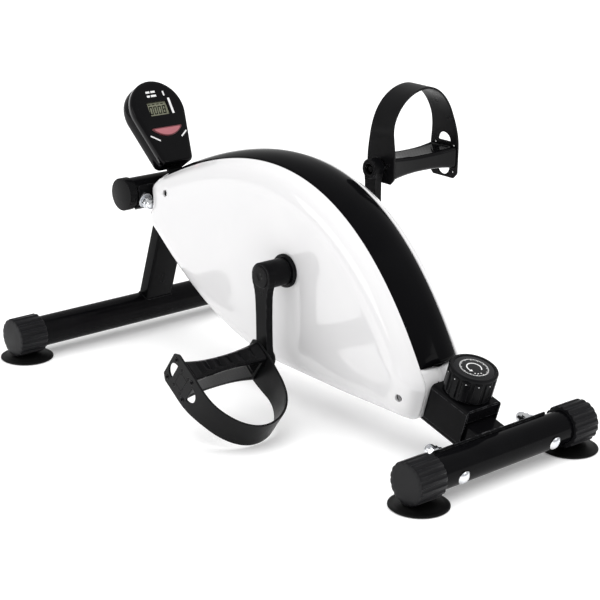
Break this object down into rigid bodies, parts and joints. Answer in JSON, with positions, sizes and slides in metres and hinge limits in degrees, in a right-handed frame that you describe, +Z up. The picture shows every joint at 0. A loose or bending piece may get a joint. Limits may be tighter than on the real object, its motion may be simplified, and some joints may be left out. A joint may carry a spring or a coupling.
{
  "type": "pedal exerciser",
  "caption": "Low under-desk pedal exerciser with a leaf shaped housing on stabiliser tubes, strapped pedals on cranks, a tension knob and a small monitor.",
  "frame": {"origin": "on the floor, midway between the two stabiliser tubes and in the middle plane of the machine", "axes": "+X toward the user and the tension knob, +Y toward the right pedal's side, +Z up"},
  "size_m": [0.626, 0.419, 0.3269],
  "materials": {
    "frame_paint": "gloss black powder coat",
    "inner_paint": "dark grey paint",
    "cap_plastic": "satin black moulding",
    "foot_rubber": "black rubber",
    "zinc": "bright zinc plate",
    "steel": "turned steel",
    "iron": "machined cast iron",
    "white_shell": "gloss white moulding",
    "black_gloss": "piano black moulding",
    "crank_paint": "satin black paint",
    "black_plastic": "fine grained black moulding",
    "strap_plastic": "soft satin black moulding",
    "pulley_plastic": "natural nylon",
    "belt_rubber": "black ribbed belt",
    "dial_plastic": "dark grey face with white rings",
    "lcd": "grey green display",
    "clear": "clear window",
    "button_pink": "pink button",
    "board": "green circuit board"
  },
  "bodies": {
    "frame": {"main_beam": "frame_paint", "front_post": "frame_paint", "front_stabilizer_tube": "frame_paint", "rear_stabilizer_tube": "frame_paint", "top_cross_tube": "frame_paint", "rear_saddle_plate": "frame_paint", "top_saddle_plate": "frame_paint", "knob_bracket": "frame_paint", "monitor_bracket": "frame_paint", "bottom_bracket_tube": "inner_paint", "bottom_bracket_riser": "inner_paint", "flywheel_bracket": "inner_paint", "magnet_arm_pivot": "inner_paint", "front_end_caps": "cap_plastic", "rear_end_caps": "cap_plastic", "top_tube_caps": "cap_plastic", "front_suction_feet": "foot_rubber", "rear_suction_feet": "foot_rubber", "foot_screws": "zinc", "carriage_bolts": "zinc", "arc_washers": "zinc", "dome_nuts": "zinc", "housing_screws": "zinc", "crank_bearings": "steel", "flywheel_bearings": "steel", "monitor_battery": "steel", "left_housing_shell": "white_shell", "right_housing_shell": "white_shell", "top_cover_strip": "black_gloss", "crank_collars": "black_plastic", "tension_cable": "black_plastic", "monitor_rear_case": "black_plastic", "monitor_front_case": "black_plastic", "speed_sensor": "black_plastic", "drive_belt": "belt_rubber", "lcd_panel": "lcd", "lcd_window": "clear", "monitor_circuit_board": "board"},
    "crank": {"crank_axle": "steel", "drive_pulley": "pulley_plastic", "left_crank_arm": "crank_paint", "right_crank_arm": "crank_paint", "crank_bolts": "zinc", "dust_plugs": "black_plastic", "left_pedal_spindle": "steel", "right_pedal_spindle": "steel", "sensor_magnet": "steel"},
    "left_pedal": {"left_pedal_body": "black_plastic", "left_pedal_strap": "strap_plastic"},
    "right_pedal": {"right_pedal_body": "black_plastic", "right_pedal_strap": "strap_plastic"},
    "flywheel_set": {"flywheel": "iron", "flywheel_axle": "steel", "flywheel_pulley": "steel"},
    "knob": {"tension_knob": "black_plastic", "knob_dial": "dial_plastic", "cable_spool": "black_plastic"},
    "brake_arm": {"magnet_arm": "steel", "brake_magnets": "steel"},
    "button": {"monitor_button": "button_pink"}
  },
  "joints": [
    {"name": "crank_spin", "type": "hinge", "parent": "frame", "child": "crank", "pos_m": [0.017, 0, 0.153], "axis": [0, 1, 0], "continuous": true},
    {"name": "left_pedal_spin", "type": "hinge", "parent": "crank", "child": "left_pedal", "pos_m": [0.02014, -0.14, 0.06305], "axis": [0, 1, 0], "continuous": true},
    {"name": "right_pedal_spin", "type": "hinge", "parent": "crank", "child": "right_pedal", "pos_m": [0.01386, 0.14, 0.24294], "axis": [0, 1, 0], "continuous": true},
    {"name": "flywheel_spin", "type": "hinge", "parent": "frame", "child": "flywheel_set", "pos_m": [-0.098, 0, 0.166], "axis": [0, 1, 0], "continuous": true},
    {"name": "tension_knob_turn", "type": "hinge", "parent": "frame", "child": "knob", "pos_m": [0.22904, 0, 0.04148], "axis": [0.2675, 0, 0.9636], "range_deg": [-270, 0]},
    {"name": "brake_arm_swing", "type": "hinge", "parent": "frame", "child": "brake_arm", "pos_m": [-0.156, 0, 0.1994], "axis": [0, -1, 0], "range_deg": [0, 4]},
    {"name": "monitor_button_press", "type": "slide", "parent": "frame", "child": "button", "axis": [-0.8251, 0, -0.565], "range_m": [0, 0.0012], "stiffness_N_per_m": 300}
  ],
  "couplings": [
    {"joint": "flywheel_spin", "follows": "crank_spin", "ratio": 4.6154},
    {"joint": "brake_arm_swing", "follows": "tension_knob_turn", "ratio": -0.014815}
  ]
}
